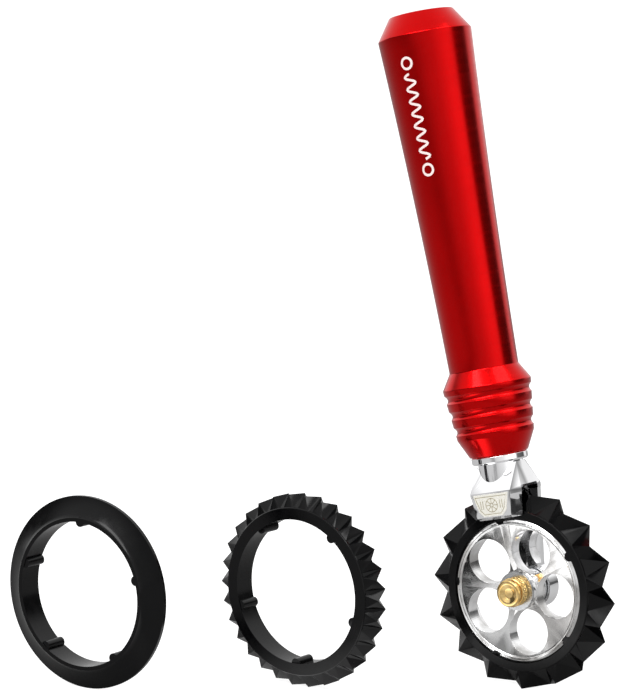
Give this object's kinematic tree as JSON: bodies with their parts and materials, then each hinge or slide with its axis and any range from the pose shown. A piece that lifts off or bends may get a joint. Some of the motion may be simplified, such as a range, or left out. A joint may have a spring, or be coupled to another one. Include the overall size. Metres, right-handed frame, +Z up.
{
  "type": "pastry cutter wheel",
  "caption": "Hand-held pastry wheel: turned red handle, one-sided chromed fork, free-turning hub with zigzag cutting ring, and spare cutting rings.",
  "frame": {"origin": "middle of the base of the whole set's box, on the table", "axes": "+Z up from the table, -Y towards the wheel's front (knob side), axle along Y, handle leans towards -X"},
  "size_m": [0.1686, 0.1004, 0.2092],
  "materials": {
    "anodised_red": "satin red anodised, turned",
    "chrome": "polished chrome plate on a casting",
    "badge_metal": "engraved nickel silver",
    "steel": "plain steel",
    "bearing_bronze": "plain bearing bronze",
    "brass": "turned and knurled brass",
    "black_plastic": "semi-gloss moulded black"
  },
  "bodies": {
    "handle": {"handle_grip": "anodised_red", "handle_insert": "steel", "fork_stud": "steel", "neck_collar": "chrome", "fork_body": "chrome", "badge_plate": "badge_metal", "arm_bush": "steel", "spring_washer": "steel", "rear_spacer": "steel"},
    "wheel": {"hub_disc": "chrome", "hub_bush": "bearing_bronze", "cutting_ring": "black_plastic"},
    "thrust_washer": {"knob_washer": "steel"},
    "axle": {"axle_screw": "steel", "thumb_knob": "brass"},
    "fine_ring": {"spare_ring_fine": "black_plastic"},
    "smooth_ring": {"spare_ring_smooth": "black_plastic"}
  },
  "joints": [
    {"name": "wheel_spin", "type": "hinge", "parent": "handle", "child": "wheel", "pos_m": [0.05362, 0.03556, 0.03064], "axis": [0, 1, 0], "continuous": true},
    {"name": "axle_withdraw", "type": "slide", "parent": "handle", "child": "thrust_washer", "axis": [0, -1, 0], "range_m": [0, 0.004]},
    {"name": "knob_turn", "type": "hinge", "parent": "thrust_washer", "child": "axle", "pos_m": [0.05362, 0.03556, 0.03064], "axis": [0, -1, 0], "range_deg": [0, 1800]},
    {"name": "fine_ring_lift", "type": "slide", "parent": "handle", "child": "fine_ring", "axis": [0, 0, 1], "range_m": [0, 0.06]},
    {"name": "smooth_ring_lift", "type": "slide", "parent": "handle", "child": "smooth_ring", "axis": [0, 0, 1], "range_m": [0, 0.06]}
  ],
  "couplings": [
    {"joint": "knob_turn", "follows": "axle_withdraw", "rad_per_m": 7854}
  ]
}
